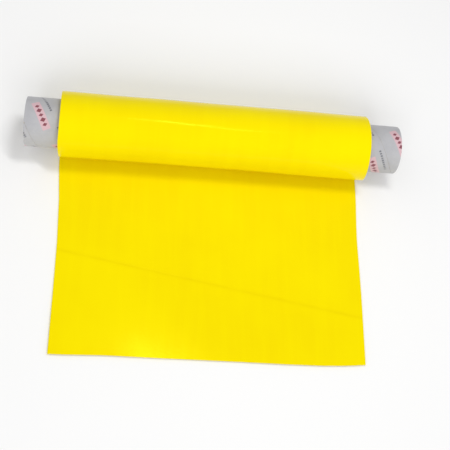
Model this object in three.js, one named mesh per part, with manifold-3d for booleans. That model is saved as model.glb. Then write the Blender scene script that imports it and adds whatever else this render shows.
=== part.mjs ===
// A small roll of glossy vinyl sheet on a longer spiral-wound paperboard core,
// with its free end laid out flat in front of it.
//
// Millimetres, +Z up. X runs along the roll's axis, the free end points to -Y,
// and Z = 0 is the surface that the roll and its free end lie on. The origin is
// below the middle of the whole object.

import * as THREE from 'three';
import { mergeVertices } from 'three/addons/utils/BufferGeometryUtils.js';
import Module from 'manifold-3d';

// ---------------------------------------------------------------- dimensions
const SHEET_WIDTH = 203.2;      // the sheet is cut 8 in wide
const SHEET_T = 0.65;           // sheet thickness
const ROLL_R = 21.65;           // outside radius of the wound roll
const INNER_TURNS = 6;          // turns under the outermost one
const TURN_PITCH = 0.71;        // radial step from one turn to the next
const WOUND_R0 = 16.55;         // inner radius of the first turn
const RUNNING_GAP = 0.25;       // radial room between the inner turns and the outer turn
const FREE_LENGTH = 149.7;      // free end, from under the axis to the cut edge's middle
const CUT_SKEW = 0.5;           // the cut edge runs this much off square at each side
const SHEET_X = 0.75;           // the sheet sits this far off the core's middle
const WOUND_SHIFT = -1.2;       // the inner turns are wound this far to the left of it

const CORE_LENGTH = 252;        // paperboard core, longer than the sheet is wide
const PLY_PITCH = 48;           // advance of each paper strip in one turn
const PLY_SEAM = 0.45;          // open butt seam between neighbouring turns of a strip
const PLIES = [                 // name, inner radius, outer radius, where the seam starts
  ['core_inner_ply', 14.20, 14.80, 0],
  ['core_middle_ply', 14.85, 15.45, 16],
  ['core_outer_ply', 15.50, 16.05, 32],
  ['core_print_ply', 16.10, 16.24, 8],
];
const TAPE_R = [16.28, 16.46];  // starter tape between the core and the first turn
const TAPE_FACETS = 3;          // the tape spans this many facets of the core, 10 mm

const FEED_END = 66;            // the feed strip runs from the roll to here
const LAID_END = 108;           // the flat stretch ends here
const STRIP_END = 129;          // the free end's first bending line to its second
const GAP = 0.3;                // room between neighbouring lengths of the sheet

const CORE_SEGMENTS = 32;       // facets in one turn of a ply
const WOUND_SEGMENTS = 40;      // facets in one turn of the sheet
const OUTER_SEGMENTS = 46;      // facets in the outermost turn
const RAMP_SEGMENTS = 4;        // each turn climbs onto the next one over these facets

// the roll's axis, so that the origin is below the middle of the whole object
const AXIS_Y = (FREE_LENGTH + CUT_SKEW - ROLL_R) / 2;
const AXIS_Z = ROLL_R;

// ----------------------------------------------------------------- materials
const vinyl = new THREE.MeshStandardMaterial({ color: 0xfbe705, roughness: 0.28, metalness: 0 });
const vinylEdge = new THREE.MeshStandardMaterial({ color: 0xf6df04, roughness: 0.3, metalness: 0 });
const board = new THREE.MeshStandardMaterial({ color: 0xb9a88c, roughness: 0.9, metalness: 0 });
const printed = new THREE.MeshStandardMaterial({ color: 0xcfced1, roughness: 0.7, metalness: 0 });
const tape = new THREE.MeshStandardMaterial({ color: 0xe9e6dc, roughness: 0.5, metalness: 0 });

// ------------------------------------------------------------------- helpers
const wasm = await Module();
wasm.setup();

// A point of the roll: beta is 0 at the bottom, a quarter turn at the front (-Y),
// half a turn at the top. The sheet runs outwards as beta grows.
function rollPoint(x, radius, beta) {
  return [x, AXIS_Y - radius * Math.sin(beta), AXIS_Z - radius * Math.cos(beta)];
}

// A closed strip through four-cornered stations.
function ribbon(stations) {
  const positions = [];
  const index = [];
  for (const station of stations) for (const p of station) positions.push(...p);
  const quad = (a, b, c, d) => index.push(a, b, c, a, c, d);
  for (let i = 0; i + 1 < stations.length; i += 1) {
    for (let k = 0; k < 4; k += 1) {
      const a = i * 4 + k;
      const b = i * 4 + ((k + 1) % 4);
      quad(a, b, b + 4, a + 4);
    }
  }
  const last = (stations.length - 1) * 4;
  quad(3, 2, 1, 0);
  quad(last, last + 1, last + 2, last + 3);
  const geometry = new THREE.BufferGeometry();
  geometry.setAttribute('position', new THREE.Float32BufferAttribute(positions, 3));
  geometry.setIndex(index);
  return outward(geometry);
}

// Turns the faces outward if the strip was listed the other way round.
function outward(geometry) {
  const p = geometry.attributes.position;
  const index = geometry.index.array;
  const a = new THREE.Vector3();
  const b = new THREE.Vector3();
  const c = new THREE.Vector3();
  let volume = 0;
  for (let i = 0; i < index.length; i += 3) {
    a.fromBufferAttribute(p, index[i]);
    b.fromBufferAttribute(p, index[i + 1]);
    c.fromBufferAttribute(p, index[i + 2]);
    volume += a.dot(b.cross(c));
  }
  if (volume < 0) {
    for (let i = 0; i < index.length; i += 3) {
      [index[i + 1], index[i + 2]] = [index[i + 2], index[i + 1]];
    }
  }
  geometry.computeVertexNormals();
  return geometry;
}

function toManifold(geometry) {
  let g = geometry.clone();
  for (const name of Object.keys(g.attributes)) if (name !== 'position') g.deleteAttribute(name);
  g = mergeVertices(g, 1e-5);
  return new wasm.Manifold(new wasm.Mesh({
    numProp: 3,
    vertProperties: new Float32Array(g.attributes.position.array),
    triVerts: new Uint32Array(g.index.array),
  }));
}

function fromManifold(manifold) {
  const mesh = manifold.getMesh();
  const geometry = new THREE.BufferGeometry();
  geometry.setAttribute('position', new THREE.Float32BufferAttribute(mesh.vertProperties, 3));
  geometry.setIndex(Array.from(mesh.triVerts));
  geometry.computeVertexNormals();
  return geometry;
}

// ---------------------------------------------------------------- the pieces
// One paper strip of the core, wound as a helix with an open butt seam and
// trimmed flush with both ends of the core.
function ply(rIn, rOut, seamStart) {
  const width = PLY_PITCH - PLY_SEAM;
  const turns = Math.ceil(CORE_LENGTH / PLY_PITCH) + 2;
  const count = turns * CORE_SEGMENTS;
  const stations = [];
  for (let i = 0; i <= count; i += 1) {
    const beta = (i / CORE_SEGMENTS) * Math.PI * 2;
    const hi = CORE_LENGTH / 2 + PLY_PITCH + seamStart - (i / CORE_SEGMENTS) * PLY_PITCH;
    const lo = hi - width;
    stations.push([
      rollPoint(lo, rIn, beta), rollPoint(hi, rIn, beta),
      rollPoint(hi, rOut, beta), rollPoint(lo, rOut, beta),
    ]);
  }
  const trim = new THREE.BoxGeometry(CORE_LENGTH, 80, 80);
  trim.translate(0, AXIS_Y, AXIS_Z);
  return fromManifold(toManifold(ribbon(stations)).intersect(toManifold(trim)));
}

// The inner turns: each turn lies level and climbs onto the next over the
// sheet's starting edge, as a tightly wound roll does.
function woundSheet() {
  const x0 = SHEET_X + WOUND_SHIFT - SHEET_WIDTH / 2;
  const x1 = SHEET_X + WOUND_SHIFT + SHEET_WIDTH / 2;
  const start = Math.PI * 0.5;
  const count = INNER_TURNS * WOUND_SEGMENTS - RAMP_SEGMENTS - 1;
  const stations = [];
  for (let i = 0; i <= count; i += 1) {
    const turn = Math.floor(i / WOUND_SEGMENTS);
    const step = (i % WOUND_SEGMENTS) - (WOUND_SEGMENTS - RAMP_SEGMENTS);
    const t = Math.max(0, step / RAMP_SEGMENTS);
    const climb = t * t * (3 - 2 * t);
    const r = WOUND_R0 + TURN_PITCH * (turn + climb);
    const beta = start + (i / WOUND_SEGMENTS) * Math.PI * 2;
    stations.push([
      rollPoint(x0, r, beta), rollPoint(x1, r, beta),
      rollPoint(x1, r + SHEET_T, beta), rollPoint(x0, r + SHEET_T, beta),
    ]);
  }
  return ribbon(stations);
}

// The outermost turn: from just above the free end, up the front, over the top
// and down the back to the line under the axis where the sheet leaves the roll.
function outerTurn() {
  const x0 = SHEET_X - SHEET_WIDTH / 2;
  const x1 = SHEET_X + SHEET_WIDTH / 2;
  const first = Math.acos(1 - (SHEET_T + GAP) / ROLL_R);
  const stations = [];
  for (let i = 0; i <= OUTER_SEGMENTS; i += 1) {
    const beta = first + (i / OUTER_SEGMENTS) * (Math.PI * 2 - first);
    const r = ROLL_R - SHEET_T;
    stations.push([
      rollPoint(x0, r, beta), rollPoint(x1, r, beta),
      rollPoint(x1, ROLL_R, beta), rollPoint(x0, ROLL_R, beta),
    ]);
  }
  return ribbon(stations);
}

// A flat length of the free end between two distances from the axis. The last
// one ends at the cut edge, which runs slightly off square.
function flatLength(from, toLeft, toRight) {
  const x0 = SHEET_X - SHEET_WIDTH / 2;
  const x1 = SHEET_X + SHEET_WIDTH / 2;
  const section = (left, right) => [
    [x0, AXIS_Y - left, 0], [x1, AXIS_Y - right, 0],
    [x1, AXIS_Y - right, SHEET_T], [x0, AXIS_Y - left, SHEET_T],
  ];
  return ribbon([section(from, from), section(toLeft, toRight)]);
}

// The strip of tape that holds the sheet's starting edge on the core.
function starterTape() {
  const x0 = SHEET_X + WOUND_SHIFT - SHEET_WIDTH / 2 + 12;
  const x1 = SHEET_X + WOUND_SHIFT + SHEET_WIDTH / 2 - 12;
  const facet = (Math.PI * 2) / CORE_SEGMENTS;
  const stations = [];
  for (let i = 0; i <= TAPE_FACETS; i += 1) {
    const beta = facet * (CORE_SEGMENTS / 4 + i);
    stations.push([
      rollPoint(x0, TAPE_R[0], beta), rollPoint(x1, TAPE_R[0], beta),
      rollPoint(x1, TAPE_R[1], beta), rollPoint(x0, TAPE_R[1], beta),
    ]);
  }
  return ribbon(stations);
}

// ---------------------------------------------------------------- the object
const roll = new THREE.Group();

function add(name, geometry, material) {
  const mesh = new THREE.Mesh(geometry, material);
  mesh.name = name;
  roll.add(mesh);
}

for (const [name, rIn, rOut, seam] of PLIES) {
  add(name, ply(rIn, rOut, seam), name === 'core_print_ply' ? printed : board);
}
add('starter_tape', starterTape(), tape);
add('wound_sheet', woundSheet(), vinylEdge);
add('outer_turn', outerTurn(), vinyl);
add('feed_strip', flatLength(GAP, FEED_END, FEED_END), vinyl);
add('laid_sheet', flatLength(FEED_END + GAP, LAID_END, LAID_END), vinyl);
add('free_end_strip', flatLength(LAID_END + GAP, STRIP_END, STRIP_END), vinyl);
add('free_end_edge', flatLength(STRIP_END + GAP, FREE_LENGTH + CUT_SKEW, FREE_LENGTH - CUT_SKEW), vinyl);

if (WOUND_R0 + TURN_PITCH * (INNER_TURNS - 1) + SHEET_T > ROLL_R - SHEET_T - RUNNING_GAP + 0.01) {
  throw new Error('the inner turns need running room inside the outer turn');
}

export default roll;
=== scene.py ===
import math

import bmesh
import bpy
import numpy as np
from mathutils import Matrix, Vector


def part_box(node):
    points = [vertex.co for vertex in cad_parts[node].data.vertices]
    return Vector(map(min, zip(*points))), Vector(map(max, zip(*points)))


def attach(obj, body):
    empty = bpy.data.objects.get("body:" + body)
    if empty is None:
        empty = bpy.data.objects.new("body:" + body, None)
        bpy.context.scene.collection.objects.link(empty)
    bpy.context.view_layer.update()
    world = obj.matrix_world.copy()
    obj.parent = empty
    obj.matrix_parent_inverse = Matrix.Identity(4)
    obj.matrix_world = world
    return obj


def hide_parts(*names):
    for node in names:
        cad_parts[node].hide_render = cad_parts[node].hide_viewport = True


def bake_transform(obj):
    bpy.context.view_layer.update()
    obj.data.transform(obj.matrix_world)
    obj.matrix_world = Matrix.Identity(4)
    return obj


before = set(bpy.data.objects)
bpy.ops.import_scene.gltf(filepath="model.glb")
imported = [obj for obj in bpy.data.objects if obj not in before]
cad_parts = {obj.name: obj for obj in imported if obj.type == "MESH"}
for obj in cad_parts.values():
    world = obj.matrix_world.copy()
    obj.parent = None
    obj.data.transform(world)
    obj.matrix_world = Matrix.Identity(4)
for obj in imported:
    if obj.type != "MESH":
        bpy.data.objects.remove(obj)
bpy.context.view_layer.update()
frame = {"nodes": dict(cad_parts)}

# ------------------------------------------------------------------ the frame
lo, hi = (np.array(v, float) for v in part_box("core_inner_ply"))
CORE_X0, CORE_X1 = lo[0], hi[0]
AXIS_Y = (lo[1] + hi[1]) / 2
AXIS_Z = (lo[2] + hi[2]) / 2
lo, hi = (np.array(v, float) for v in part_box("laid_sheet"))
SHEET_L, SHEET_R = lo[0], hi[0]
SHEET_T = hi[2] - lo[2]
ROLL_R = AXIS_Z
lo, hi = (np.array(v, float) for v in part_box("wound_sheet"))
WOUND_L, WOUND_R = lo[0], hi[0]

TURN_PITCH = 0.00071
WOUND_R0 = 0.01655
INNER_TURNS = 6
PLY_PITCH = 0.048
PLY_SEAM = 0.00045
FREE = 0.1497                       # free length from under the axis

# where the visual lengths of the sheet meet, as distances from the axis
S_FLAT = 0.062
S_EDGE = 0.124


# ------------------------------------------------------------------- helpers
def smooth(t):
    t = np.clip(t, 0, 1)
    return t * t * (3 - 2 * t)


def waves(x, s, seed, long, short, octaves=5):
    """Smooth, repeatable unevenness over a surface, about -1 to 1. x and s are metres, long and short the longest and shortest wavelengths."""
    rng = np.random.default_rng(seed)
    total = np.zeros(np.broadcast(x, s).shape)
    power = 0
    for k in range(octaves * 3):
        wave = long * (short / long) ** (k / (octaves * 3 - 1))
        angle = rng.uniform(0, math.pi)
        phase = rng.uniform(0, 2 * math.pi)
        weight = (wave / long) ** 0.6
        total = total + weight * np.sin(
            2 * math.pi / wave * (x * math.cos(angle) + s * math.sin(angle)) + phase
        )
        power += weight**2
    return total / math.sqrt(power)


def new_object(name, verts, faces, uvs=None, material=None, sharp=35):
    mesh = bpy.data.meshes.new(name)
    mesh.from_pydata([tuple(v) for v in verts], [], faces)
    mesh.validate()
    mesh.update()
    if uvs is not None:
        layer = mesh.uv_layers.new(name="UVMap")
        loops = np.empty(len(mesh.loops), np.int32)
        mesh.loops.foreach_get("vertex_index", loops)
        layer.data.foreach_set("uv", np.asarray(uvs, np.float32)[loops].ravel())
    mesh.polygons.foreach_set("use_smooth", [True] * len(mesh.polygons))
    if sharp:
        mesh.set_sharp_from_angle(angle=math.radians(sharp))
    obj = bpy.data.objects.new(name, mesh)
    bpy.context.scene.collection.objects.link(obj)
    if material:
        mesh.materials.append(material)
    return obj


def sheet_solid(name, mid, normal, along, left, right, lift, columns, material, close=True):
    """A length of sheet with its real thickness and slightly eased edges.
    mid and normal are (n, 2) arrays of y, z: the lower face and the way to the upper one.
    along is each station's place along the sheet, left and right its two side edges.
    lift(x, station) raises both faces alike."""
    n = len(mid)
    ease = 0.00012
    u = np.linspace(0, 1, columns)
    verts, uvs = [], []
    side = []
    for i in range(n):
        x0, x1 = left[i], right[i]
        xs = np.concatenate([[x0 + ease], x0 + ease + (x1 - x0 - 2 * ease) * u[1:-1], [x1 - ease]])
        w = lift(xs, i)
        w0, w1 = w[0], w[-1]
        loop = [(x, SHEET_T + h) for x, h in zip(xs, w)]
        loop += [(x1 - ease * 0.3, SHEET_T + w1 - ease * 0.3), (x1, SHEET_T + w1 - ease)]
        loop += [(x1, w1 + ease), (x1 - ease * 0.3, w1 + ease * 0.3)]
        loop += [(x, h) for x, h in zip(xs[::-1], w[::-1])]
        loop += [(x0 + ease * 0.3, w0 + ease * 0.3), (x0, w0 + ease)]
        loop += [(x0, SHEET_T + w0 - ease), (x0 + ease * 0.3, SHEET_T + w0 - ease * 0.3)]
        for x, h in loop:
            verts.append((x, mid[i, 0] + normal[i, 0] * h, mid[i, 1] + normal[i, 1] * h))
            uvs.append((x, along[i]))
        side.append(len(loop))
    m = side[0]
    faces = []
    for i in range(n - 1):
        a, b = i * m, (i + 1) * m
        for k in range(m):
            j = (k + 1) % m
            faces.append((a + k, a + j, b + j, b + k))
    if close:
        c = columns
        for base, flip in ((0, False), ((n - 1) * m, True)):
            quads = []
            for k in range(c - 1):
                quads.append((k, k + 1, 2 * c + 4 - 2 - k, 2 * c + 4 - 1 - k))
            right_rim = [c - 1, c, c + 1, c + 2, c + 3, c + 4]
            left_rim = [2 * c + 3, 2 * c + 4, 2 * c + 5, 2 * c + 6, 2 * c + 7, 0]
            quads.append(tuple(right_rim))
            quads.append(tuple(left_rim))
            for q in quads:
                q = tuple(base + v for v in q)
                faces.append(q if flip else q[::-1])
    obj = new_object(name, verts, faces, uvs, material, sharp=50)
    fix_normals(obj)
    return obj


def fix_normals(obj):
    bm = bmesh.new()
    bm.from_mesh(obj.data)
    bmesh.ops.recalc_face_normals(bm, faces=bm.faces)
    if bm.calc_volume(signed=True) < 0:
        bmesh.ops.reverse_faces(bm, faces=bm.faces)
    bm.to_mesh(obj.data)
    bm.free()
    obj.data.update()


def roll_point(x, radius, beta):
    return (x, AXIS_Y - radius * math.sin(beta), AXIS_Z - radius * math.cos(beta))


# ----------------------------------------------------------------- materials
class Nodes:
    """A material's node tree, written as sums."""

    def __init__(self, name):
        self.material = bpy.data.materials.new(name)
        self.material.use_nodes = True
        self.tree = self.material.node_tree
        self.shader = self.tree.nodes["Principled BSDF"]

    def node(self, kind, **values):
        n = self.tree.nodes.new(kind)
        for key, value in values.items():
            setattr(n, key, value)
        return n

    def put(self, socket, value):
        if isinstance(value, bpy.types.NodeSocket):
            self.tree.links.new(value, socket)
        else:
            socket.default_value = value

    def math(self, op, a, b=0.0, c=None, clamp=False):
        n = self.node("ShaderNodeMath", operation=op, use_clamp=clamp)
        self.put(n.inputs[0], a)
        self.put(n.inputs[1], b)
        if c is not None:
            self.put(n.inputs[2], c)
        return n.outputs[0]

    def add(self, a, b):
        return self.math("ADD", a, b)

    def sub(self, a, b):
        return self.math("SUBTRACT", a, b)

    def mul(self, a, b):
        return self.math("MULTIPLY", a, b)

    def ramp(self, value, low, high, to_low=0.0, to_high=1.0):
        n = self.node("ShaderNodeMapRange", interpolation_type="SMOOTHSTEP")
        for k, v in zip(range(5), (value, low, high, to_low, to_high)):
            self.put(n.inputs[k], v)
        return n.outputs[0]

    def uv(self):
        n = self.node("ShaderNodeUVMap", uv_map="UVMap")
        split = self.node("ShaderNodeSeparateXYZ")
        self.tree.links.new(n.outputs[0], split.inputs[0])
        return n.outputs[0], split.outputs[0], split.outputs[1]

    def place(self):
        return self.node("ShaderNodeTexCoord").outputs["Object"]

    def scaled(self, vector, scale):
        n = self.node("ShaderNodeMapping")
        self.put(n.inputs["Vector"], vector)
        n.inputs["Scale"].default_value = scale
        return n.outputs[0]

    def noise(self, vector, scale, detail=2.0, rough=0.5):
        n = self.node("ShaderNodeTexNoise")
        self.put(n.inputs["Vector"], vector)
        n.inputs["Scale"].default_value = scale
        n.inputs["Detail"].default_value = detail
        n.inputs["Roughness"].default_value = rough
        return n.outputs["Fac"] if "Fac" in n.outputs else n.outputs[0]

    def mix(self, fac, a, b, mode="MIX"):
        n = self.node("ShaderNodeMix", data_type="RGBA", blend_type=mode)
        self.put(n.inputs[0], fac)
        self.put(n.inputs[6], a if isinstance(a, bpy.types.NodeSocket) else (*a, 1))
        self.put(n.inputs[7], b if isinstance(b, bpy.types.NodeSocket) else (*b, 1))
        return n.outputs[2]

    def bump(self, height, strength, distance, normal=None):
        n = self.node("ShaderNodeBump")
        n.inputs["Strength"].default_value = strength
        n.inputs["Distance"].default_value = distance
        self.put(n.inputs["Height"], height)
        if normal is not None:
            self.put(n.inputs["Normal"], normal)
        return n.outputs[0]


def srgb(r, g, b):
    return tuple(c / 255 / 12.92 if c / 255 <= 0.04045 else ((c / 255 + 0.055) / 1.055) ** 2.4 for c in (r, g, b))


def vinyl_material(name):
    m = Nodes(name)
    uv, x, s = m.uv()
    cloudy = m.noise(m.scaled(uv, (1, 1, 1)), 14, 3, 0.55)
    streaks = m.noise(m.scaled(uv, (1, 0.08, 1)), 160, 2, 0.5)
    fine = m.noise(uv, 900, 2, 0.6)
    tone = m.mix(m.ramp(cloudy, 0.3, 0.7), (0.872, 0.690, 0.0012), (0.900, 0.738, 0.0010))
    tone = m.mix(m.mul(m.ramp(streaks, 0.35, 0.75), 0.35), tone, (0.912, 0.760, 0.0010))
    # darker tone along the crease line: painted shade of the fold, read from the crease attribute
    crease = m.node("ShaderNodeAttribute", attribute_name="crease").outputs["Fac"]
    tone = m.mix(m.mul(crease, 0.5), tone, (0.80, 0.62, 0.0010))
    m.put(m.shader.inputs["Base Color"], tone)
    rough = m.ramp(cloudy, 0.25, 0.75, 0.11, 0.17)
    rough = m.add(rough, m.mul(m.sub(fine, 0.5), 0.05))
    m.put(m.shader.inputs["Roughness"], rough)
    m.shader.inputs["Specular IOR Level"].default_value = 0.17
    m.shader.inputs["Specular Tint"].default_value = (1.0, 0.86, 0.03, 1)
    m.shader.inputs["IOR"].default_value = 1.5
    peel = m.bump(m.noise(uv, 520, 2, 0.5), 0.05, 0.0004)
    m.put(m.shader.inputs["Normal"], m.bump(streaks, 0.06, 0.0006, peel))
    return m.material


def board_material(name, light, dark):
    m = Nodes(name)
    at = m.place()
    mottled = m.noise(at, 260, 4, 0.65)
    fibre = m.noise(m.scaled(at, (1, 6, 6)), 420, 3, 0.7)
    tone = m.mix(m.ramp(mottled, 0.3, 0.72), dark, light)
    tone = m.mix(m.mul(m.ramp(fibre, 0.5, 0.8), 0.4), tone, tuple(c * 1.18 for c in light))
    m.put(m.shader.inputs["Base Color"], tone)
    m.shader.inputs["Roughness"].default_value = 0.88
    m.shader.inputs["Specular IOR Level"].default_value = 0.25
    m.put(m.shader.inputs["Normal"], m.bump(m.add(mottled, fibre), 0.25, 0.0003))
    return m.material


def print_material(name):
    """Face paper with a plain repeating pattern: square-cornered pink patches that hold a row of dark red lozenges, and rows of short grey dashes."""
    m = Nodes(name)
    uv, a, b = m.uv()                       # metres along the paper strip and across it
    mm = 0.001
    row = 21.5 * mm

    def wrapped(value, period, offset=0.0):
        """-period/2 to period/2"""
        t = m.math("WRAP", m.add(value, offset), period / 2, -period / 2)
        return t

    b_row = wrapped(b, row, 11.4 * mm)
    row_id = m.math("FLOOR", m.mul(m.add(b, 11.4 * mm + row / 2), 1 / row))
    a_shift = m.add(m.sub(a, 4.5 * mm), m.mul(row_id, 13.0 * mm))
    period = 33.0 * mm
    a_pill = wrapped(a_shift, period)
    # patch
    half_l, half_h, r = 10.0 * mm, 2.7 * mm, 0.4 * mm
    dx = m.math("MAXIMUM", m.sub(m.math("ABSOLUTE", a_pill), half_l - r), 0.0)
    dy = m.math("MAXIMUM", m.sub(m.math("ABSOLUTE", b_row), half_h - r), 0.0)
    dist = m.sub(m.math("SQRT", m.add(m.mul(dx, dx), m.mul(dy, dy))), r)
    pill = m.ramp(dist, -0.12 * mm, 0.12 * mm, 1.0, 0.0)
    rim = m.mul(m.ramp(dist, -0.55 * mm, -0.35 * mm, 0.0, 1.0), pill)
    # lozenges inside it, large and small in turn
    step = 3.3 * mm
    cell = m.math("FLOOR", m.mul(m.add(a_pill, step * 3.5), 1 / step))
    a_cell = wrapped(a_pill, step)
    odd = m.math("MODULO", m.math("ABSOLUTE", cell), 2.0)
    reach = m.add(m.mul(m.math("ABSOLUTE", a_cell), 1.25), m.mul(m.math("ABSOLUTE", b_row), m.sub(1.0, m.mul(odd, 0.15))))
    size = m.sub(1.95 * mm, m.mul(odd, 0.55 * mm))
    mark = m.ramp(m.sub(reach, size), -0.08 * mm, 0.08 * mm, 1.0, 0.0)
    inside = m.ramp(m.math("ABSOLUTE", a_pill), 8.2 * mm, 8.3 * mm, 1.0, 0.0)
    mark = m.math("MULTIPLY", mark, inside, clamp=True)
    # dashes between the rows of patches
    b_dash = wrapped(b, row, 18.4 * mm)
    pitch = 1.75 * mm
    dash_cell = m.math("FLOOR", m.mul(a, 1 / pitch))
    rnd = m.node("ShaderNodeTexWhiteNoise", noise_dimensions="2D")
    place = m.node("ShaderNodeCombineXYZ")
    m.put(place.inputs[0], dash_cell)
    m.put(place.inputs[1], m.math("FLOOR", m.mul(m.add(b, 18.4 * mm + row / 2), 1 / row)))
    m.put(rnd.inputs["Vector"], place.outputs[0])
    chance = rnd.outputs["Value"]
    a_dash = wrapped(a, pitch, pitch / 2)
    long = m.add(0.42 * mm, m.mul(chance, 0.34 * mm))
    dash = m.mul(
        m.math("LESS_THAN", m.math("ABSOLUTE", a_dash), long),
        m.ramp(m.math("ABSOLUTE", b_dash), 0.62 * mm, 0.78 * mm, 1.0, 0.0),
    )
    word = m.math("LESS_THAN", m.math("ABSOLUTE", wrapped(a, 27 * mm, 7 * mm)), 8.2 * mm)
    dash = m.mul(m.mul(dash, word), m.math("GREATER_THAN", chance, 0.18))

    at = m.place()
    cloudy = m.noise(at, 55, 4, 0.6)
    fibre = m.noise(at, 900, 3, 0.7)
    paper = m.mix(m.ramp(cloudy, 0.3, 0.7), (0.410, 0.410, 0.430), (0.475, 0.475, 0.493))
    paper = m.mix(m.mul(m.ramp(fibre, 0.45, 0.8), 0.25), paper, (0.36, 0.36, 0.38))
    tone = m.mix(pill, paper, (0.66, 0.45, 0.485))
    tone = m.mix(m.mul(rim, 0.3), tone, (0.55, 0.36, 0.40))
    tone = m.mix(m.mul(mark, 0.92), tone, (0.20, 0.035, 0.055))
    tone = m.mix(m.mul(dash, 0.8), tone, (0.12, 0.125, 0.15))
    m.put(m.shader.inputs["Base Color"], tone)
    m.put(m.shader.inputs["Roughness"], m.ramp(cloudy, 0.3, 0.7, 0.34, 0.52))
    m.shader.inputs["Specular IOR Level"].default_value = 0.5
    buckle = m.noise(m.scaled(at, (0.35, 1, 1)), 120, 2, 0.5)
    m.put(
        m.shader.inputs["Normal"],
        m.bump(fibre, 0.12, 0.0002, m.bump(buckle, 0.22, 0.0012)),
    )
    return m.material


def tape_material(name):
    m = Nodes(name)
    at = m.place()
    cloudy = m.noise(at, 140, 3, 0.6)
    m.put(m.shader.inputs["Base Color"], m.mix(cloudy, (0.66, 0.62, 0.52), (0.80, 0.77, 0.68)))
    m.put(m.shader.inputs["Roughness"], m.ramp(cloudy, 0.3, 0.7, 0.32, 0.48))
    m.put(m.shader.inputs["Normal"], m.bump(m.noise(at, 1200, 2), 0.2, 0.0002))
    return m.material


vinyl = vinyl_material("yellow_vinyl")
board_light = board_material("board_grey", (0.43, 0.37, 0.28), (0.30, 0.25, 0.18))
board_mid = board_material("board_brown", (0.36, 0.29, 0.20), (0.25, 0.20, 0.135))
print_paper = print_material("printed_paper")
tape_film = tape_material("tape_film")


# ---------------------------------------------------------------------- core
def left_end(beta):
    """The core's left end is cut slightly out of square, longest at the front of its top."""
    return CORE_X0 + 0.0012 * (1 - math.cos(beta - math.radians(150)))


def ply(name, node, r_in, r_out, seam_start, material, segments=144, columns=10, seam=PLY_SEAM):
    """One paper strip of the core: a smooth helix with an open butt seam, trimmed flush at both ends."""
    length = CORE_X1 - CORE_X0
    width = PLY_PITCH - seam
    turns = math.ceil(length / PLY_PITCH) + 2
    r_mid = (r_in + r_out) / 2
    around = 2 * math.pi * r_mid
    slope = math.atan2(PLY_PITCH, around)
    ease = min(0.00008, (r_out - r_in) * 0.3)
    stations = []
    for i in range(turns * segments + 1):
        beta = i / segments * 2 * math.pi
        top = CORE_X1 + PLY_PITCH + seam_start - i / segments * PLY_PITCH
        low = top - width
        x0, x1 = max(low, left_end(beta)), min(top, CORE_X1)
        if x1 - x0 < 0.0004:
            if stations:
                break
            continue
        stations.append((beta, x0, x1))
    verts, uvs = [], []
    for beta, x0, x1 in stations:
        xs = np.linspace(x0, x1, columns)
        top = CORE_X1 + PLY_PITCH + seam_start - beta / (2 * math.pi) * PLY_PITCH

        def along(x):
            d = top - x
            arc = r_mid * beta
            return (arc * math.cos(slope) - (x - CORE_X1) * math.sin(slope), d * math.cos(slope))

        out = [(x, r_out - (ease if k in (0, columns - 1) else 0)) for k, x in enumerate(xs)]
        back = [(x, r_in + (ease if k in (0, columns - 1) else 0)) for k, x in enumerate(xs)][::-1]
        for x, r in out + back:
            verts.append(roll_point(x, r, beta))
            uvs.append(along(x))
    m = 2 * columns
    faces = []
    for i in range(len(stations) - 1):
        p, q = i * m, (i + 1) * m
        for k in range(m):
            j = (k + 1) % m
            faces.append((p + k, p + j, q + j, q + k))
    for base in (0, (len(stations) - 1) * m):
        for k in range(columns - 1):
            faces.append((base + k, base + k + 1, base + m - 2 - k, base + m - 1 - k))
    obj = new_object(name, verts, faces, uvs, material, sharp=40)
    fix_normals(obj)
    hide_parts(node)
    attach(obj, "roll")
    return obj


ply("core_inner", "core_inner_ply", 0.01420, 0.01482, 0.0, board_light, columns=4)
ply("core_middle", "core_middle_ply", 0.01484, 0.01546, 0.016, board_mid, columns=4)
ply("core_outer", "core_outer_ply", 0.01548, 0.01608, 0.032, board_light, columns=4)
ply("core_print", "core_print_ply", 0.01610, 0.01625, 0.008, print_paper, segments=180, columns=14, seam=0.00014)

tape = frame["nodes"]["starter_tape"] if isinstance(frame["nodes"], dict) else bpy.data.objects["starter_tape"]
if not isinstance(tape, bpy.types.Object):
    tape = bpy.data.objects["starter_tape"]
for k in range(max(1, len(tape.material_slots))):
    if tape.material_slots:
        tape.material_slots[k].material = tape_film


# --------------------------------------------------------------- wound sheet
def wound():
    per_turn = 180
    ramp = per_turn // 10
    start = math.pi * 0.5
    count = INNER_TURNS * per_turn - ramp - 4
    mid, normal, along, left, right = [], [], [], [], []
    s = FREE + 2 * math.pi * ROLL_R + INNER_TURNS * 2 * math.pi * 0.0187
    rng = np.random.default_rng(11)
    shift = rng.uniform(-0.00035, 0.00035, INNER_TURNS + 2)
    for i in range(count + 1):
        turn, k = divmod(i, per_turn)
        climb = float(smooth((k - (per_turn - ramp)) / ramp))
        r = WOUND_R0 + TURN_PITCH * (turn + climb)
        beta = start + i / per_turn * 2 * math.pi
        t = i / per_turn
        base = int(t)
        f = float(smooth(t - base))
        drift = shift[base] * (1 - f) + shift[base + 1] * f
        p = roll_point(0, r, beta)
        n = roll_point(0, r + 1, beta)
        mid.append(p[1:])
        normal.append((n[1] - p[1], n[2] - p[2]))
        along.append(s)
        s -= r * 2 * math.pi / per_turn
        out = 0.0009 * float(smooth((t - 2.5) / 3.0))
        left.append(WOUND_L + drift - out)
        right.append(WOUND_R + drift - out)
    obj = sheet_solid(
        "sheet_wound", np.array(mid), np.array(normal), along, left, right,
        lambda x, i: x * 0, 6, vinyl,
    )
    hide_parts("wound_sheet")
    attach(obj, "roll")
    return obj


wound()


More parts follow.
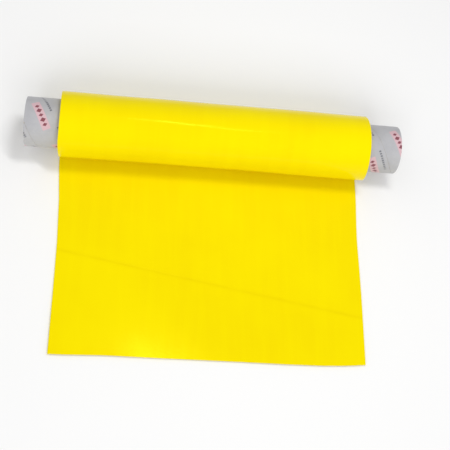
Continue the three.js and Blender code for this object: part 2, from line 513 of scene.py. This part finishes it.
# ---------------------------------------------------------------- outer turn
def edge_left(s):
    """The left edge's place at s, the distance from under the axis, negative round the roll. It wanders by up to 3.2 mm."""
    s = np.asarray(s, float)
    return SHEET_L + np.interp(
        s,
        [-0.14, -0.113, -0.105, -0.098, -0.091, -0.079, -0.058, -0.045, 0.0, 0.02, 0.045, 0.075, 0.11, 0.1497],
        [-0.0020, -0.0020, -0.0022, -0.0028, -0.0032, -0.0029, -0.0025, -0.0020, -0.0017, -0.0014, 0.0001, 0.0007, 0.0002, -0.0006],
    )


def edge_right(s):
    s = np.asarray(s, float)
    return SHEET_R + np.interp(
        s,
        [-0.14, -0.112, -0.106, -0.098, -0.085, -0.05, 0.0, 0.03, 0.05, 0.06, 0.071, 0.081, 0.1, 0.1497],
        [0.0020, 0.0020, 0.0018, 0.0014, 0.0007, 0.0004, 0.0007, 0.0007, 0.0, -0.0002, 0.0, 0.0003, 0.0006, 0.0006],
    )


def outer():
    first = math.acos(1 - (SHEET_T + 0.0001) / ROLL_R)
    n = 260
    mid, normal, along, left, right, betas = [], [], [], [], [], []
    for i in range(n + 1):
        beta = first + i / n * (2 * math.pi - first)
        p = roll_point(0, ROLL_R, beta)
        q = roll_point(0, ROLL_R - 1, beta)
        mid.append(p[1:])
        normal.append((q[1] - p[1], q[2] - p[2]))
        s = -(2 * math.pi - beta) * ROLL_R
        along.append(FREE - s)
        left.append(float(edge_left(s)))
        right.append(float(edge_right(s)))
        betas.append(beta)

    def lift(x, i):
        # the upper face is the inner one here, so a lift draws the sheet in
        s = -(2 * math.pi - betas[i]) * ROLL_R
        calm = float(smooth((2 * math.pi - betas[i]) / 0.5)) * float(smooth((betas[i] - first) / 0.3))
        soft = waves(x, np.full_like(x, s), 3, 0.085, 0.022, 4) * 0.000055
        ripple = waves(x * 0.55, np.full_like(x, s), 8, 0.020, 0.010, 3) * 0.000016
        # the outermost turn stands off a little at the front of its right end
        loose = -0.0009 * smooth((x + 0.02) / 0.12) * math.exp(-(((betas[i] - 1.15) / 0.55) ** 2))
        return (np.maximum(soft + ripple, -0.00016) + loose) * calm

    obj = sheet_solid("sheet_outer_turn", np.array(mid), np.array(normal), along, left, right, lift, 120, vinyl)
    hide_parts("outer_turn")
    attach(obj, "feed")
    return obj


outer()


# ------------------------------------------------------------------ free end
# the crease runs slantwise over the flat stretch, from one side edge to the other
CREASE = ((-0.09985, 0.0802), (0.09905, 0.1158))
CUT = (
    [-0.1023, -0.0953, -0.0657, -0.0356, -0.0051, 0.0181, 0.0495, 0.0733, 0.0880, 0.0975, 0.1023],
    [0.1502, 0.1502, 0.1495, 0.1498, 0.1498, 0.1499, 0.1502, 0.1501, 0.1495, 0.1487, 0.1482],
)


def crease_at(x):
    (x0, s0), (x1, s1) = CREASE
    return s0 + (x - x0) / (x1 - x0) * (s1 - s0)


def cut_at(x):
    """The cut edge, a smooth curve through its measured points."""
    xs, ss = np.array(CUT[0]) + 0.00075, np.array(CUT[1])
    fine = np.linspace(xs[0] - 0.002, xs[-1] + 0.002, 400)
    raw = np.interp(fine, xs, ss)
    kernel = np.hanning(31)
    kernel /= kernel.sum()
    padded = np.pad(raw, 15, mode="edge")
    return np.interp(x, fine, np.convolve(padded, kernel, mode="valid"))


def tail_lift(x, s):
    """How far the free end stands off the surface: nothing near the roll, a little towards the cut edge."""
    rise = smooth((s - 0.085) / 0.065)
    u = (x - SHEET_L) / (SHEET_R - SHEET_L)
    wave = 0.5 + 0.5 * np.sin(2 * math.pi * (u * 1.35 + 0.12)) * (0.75 + 0.25 * np.sin(2 * math.pi * u * 3.1 + 1.0))
    soft = 0.5 + 0.5 * waves(x, s, 21, 0.16, 0.05, 3) / 1.6
    near = smooth((s - 0.012) / 0.03)
    return rise * (0.0003 + 0.0005 * wave) + near * 0.00022 * np.clip(soft, 0, 1.6)


def tail(name, s_from, s_to, rows, columns=150, follow_crease=False, to_cut=False):
    """A length of the free end. Rows bend to follow the crease, or the cut edge."""
    ease = 0.00012
    u = np.linspace(0, 1, columns)
    verts, uvs, mark = [], [], []
    # extra rows at the crease
    if follow_crease:
        spread = np.array([-0.0024, -0.0016, -0.0011, -0.0007, -0.00035, 0, 0.00035, 0.0007, 0.0011, 0.0016, 0.0024])
    grid = []
    for x in u:
        xr = SHEET_L + (SHEET_R - SHEET_L) * x
        end = float(cut_at(xr)) if to_cut else s_to
        if follow_crease:
            c = float(crease_at(xr))
            a = s_from + (c - 0.0024 - s_from) * np.linspace(0, 1, rows // 2, endpoint=False)
            b = c + 0.0024 + (end - c - 0.0024) * np.linspace(0, 1, rows // 2)[1:]
            grid.append(np.concatenate([a, c + spread, b]))
        else:
            grid.append(np.linspace(s_from, end, rows))
    grid = np.array(grid).T                                   # rows by columns
    n = len(grid)
    m = None
    for i in range(n):
        s = grid[i]
        left, right = edge_left(s[0]), edge_right(s[-1])
        xs = left + ease + (right - left - 2 * ease) * u
        w = tail_lift(xs, s)
        if follow_crease:
            d = (s - crease_at(xs)) / 0.0009
            groove = np.exp(-d * d)
            inset = smooth((xs - left) / 0.006) * smooth((right - xs) / 0.006)
            w = w - 0.00005 * groove * inset
            # painted shade along the crease line, broken up along x; the mesh itself only dips 0.05 mm there
            crease_shade = np.exp(-((s - crease_at(xs)) / 0.0013) ** 2) * (0.72 + 0.28 * np.sin(xs * 220 + 1) * np.sin(xs * 95))
        else:
            crease_shade = np.zeros_like(s)
        top = [(x, q, SHEET_T + h, f) for x, q, h, f in zip(xs, s, w, crease_shade)]
        low = [(x, q, h, 0.0) for x, q, h in zip(xs, s, w)]
        w0, w1 = w[0], w[-1]
        loop = list(top)
        loop += [(right - ease * 0.3, s[-1], SHEET_T + w1 - ease * 0.3, 0), (right, s[-1], SHEET_T + w1 - ease, 0)]
        loop += [(right, s[-1], w1 + ease, 0), (right - ease * 0.3, s[-1], w1 + ease * 0.3, 0)]
        loop += low[::-1]
        loop += [(left + ease * 0.3, s[0], w0 + ease * 0.3, 0), (left, s[0], w0 + ease, 0)]
        loop += [(left, s[0], SHEET_T + w0 - ease, 0), (left + ease * 0.3, s[0], SHEET_T + w0 - ease * 0.3, 0)]
        m = len(loop)
        for x, q, h, f in loop:
            verts.append((x, AXIS_Y - q, max(h, 0.00002)))
            uvs.append((x, FREE - q))
            mark.append(f)
    faces = []
    for i in range(n - 1):
        a, b = i * m, (i + 1) * m
        for k in range(m):
            j = (k + 1) % m
            faces.append((a + k, a + j, b + j, b + k))
    c = columns
    for base in (0, (n - 1) * m):
        for k in range(c - 1):
            faces.append((base + k, base + k + 1, base + 2 * c + 2 - k, base + 2 * c + 3 - k))
        faces.append(tuple(base + v for v in (c - 1, c, c + 1, c + 2, c + 3, c + 4)))
        faces.append(tuple(base + v for v in (2 * c + 3, 2 * c + 4, 2 * c + 5, 2 * c + 6, 2 * c + 7, 0)))
    obj = new_object(name, verts, faces, uvs, vinyl, sharp=50)
    fix_normals(obj)
    # the crease attribute carries this painted shade to the vinyl material
    layer = obj.data.attributes.new("crease", "FLOAT", "POINT")
    layer.data.foreach_set("value", np.array(mark, np.float32))
    return obj


feed = tail("sheet_feed", 0.0, S_FLAT, 90)
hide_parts("feed_strip")
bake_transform(feed)

flat = tail("sheet_flat", S_FLAT, S_EDGE, 80, follow_crease=True)
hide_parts("laid_sheet")
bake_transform(flat)

edge = tail("sheet_free_edge", S_EDGE, FREE, 44, to_cut=True)
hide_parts("free_end_strip", "free_end_edge")
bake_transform(edge)


# --------------------------------------------------------------------- stage
def floor_material():
    m = Nodes("pale_floor")
    at = m.place()
    m.put(m.shader.inputs["Base Color"], m.mix(m.noise(at, 3, 2), (0.89, 0.89, 0.89), (0.91, 0.91, 0.91)))
    m.shader.inputs["Roughness"].default_value = 0.9
    m.shader.inputs["Specular IOR Level"].default_value = 0.1
    return m.material


floor_mesh = bpy.data.meshes.new("floor")
size = 3.0
floor_mesh.from_pydata(
    [(-size, -size, -0.0003), (size, -size, -0.0003), (size, size, -0.0003), (-size, size, -0.0003)], [], [(0, 1, 2, 3)]
)
floor_mesh.materials.append(floor_material())
floor = bpy.data.objects.new("floor", floor_mesh)
bpy.context.scene.collection.objects.link(floor)

scene = bpy.context.scene
world = bpy.data.worlds.new("studio")
scene.world = world
world.use_nodes = True
world.node_tree.nodes["Background"].inputs[0].default_value = (1, 1, 1, 1)
world.node_tree.nodes["Background"].inputs[1].default_value = 0.57
scene.view_settings.view_transform = "Standard"
scene.view_settings.look = "None"
scene.view_settings.exposure = 0.0
scene.view_settings.gamma = 1.0


def area_light(name, place, target, size_x, size_y, watts, mirrored=True):
    data = bpy.data.lights.new(name, "AREA")
    data.shape = "RECTANGLE"
    data.size, data.size_y = size_x, size_y
    data.energy = watts
    obj = bpy.data.objects.new(name, data)
    scene.collection.objects.link(obj)
    obj.location = place
    away = Vector(place) - Vector(target)
    obj.rotation_mode = "QUATERNION"
    obj.rotation_quaternion = away.to_track_quat("Z", "Y")
    obj.visible_glossy = mirrored
    return obj


# the key shapes the shade, the broken strip is what the vinyl mirrors
area_light("key", (0.08, AXIS_Y + 0.04, 0.62), (0, AXIS_Y - 0.03, 0), 0.20, 0.04, 0.84, mirrored=False)
lean = Vector((0.107, 0.105, 0.92))
for name, at, length, share in (("strip_left", -0.125, 0.047, 0.3), ("strip", -0.047, 0.115, 1.05), ("strip_right", 0.070, 0.030, 1.3)):
    place = Vector((0.107, AXIS_Y + 0.055, 0.92)) + Vector((0.7, -0.714, 0)) * at
    area_light(name, place, place - lean, length, 0.035, 120 * length * 0.035 * share)
area_light("fill", (-0.10, -1.45, 1.15), (0, AXIS_Y - 0.03, 0), 1.6, 0.8, 15.2, mirrored=False)

# -------------------------------------------------------------------- camera
elevation, turn, roll_angle = math.radians(65.0), math.radians(21.877), math.radians(23.739)
back = Vector((-math.sin(turn) * math.cos(elevation), -math.cos(turn) * math.cos(elevation), math.sin(elevation)))
level = Vector((math.cos(turn), -math.sin(turn), 0))
up = back.cross(level)
right = math.cos(roll_angle) * level + math.sin(roll_angle) * up
up = -math.sin(roll_angle) * level + math.cos(roll_angle) * up
target = Vector((0.009743 + 0.00075, AXIS_Y - 0.055361, 0))
camera_data = bpy.data.cameras.new("camera")
camera_data.sensor_width = 36
camera_data.lens = 1000 / 450 * 36
camera_data.clip_start, camera_data.clip_end = 0.01, 20
camera = bpy.data.objects.new("camera", camera_data)
scene.collection.objects.link(camera)
spot = target + back * 0.673689
camera.matrix_world = Matrix(
    (
        (right.x, up.x, back.x, spot.x),
        (right.y, up.y, back.y, spot.y),
        (right.z, up.z, back.z, spot.z),
        (0, 0, 0, 1),
    )
)
scene.camera = camera
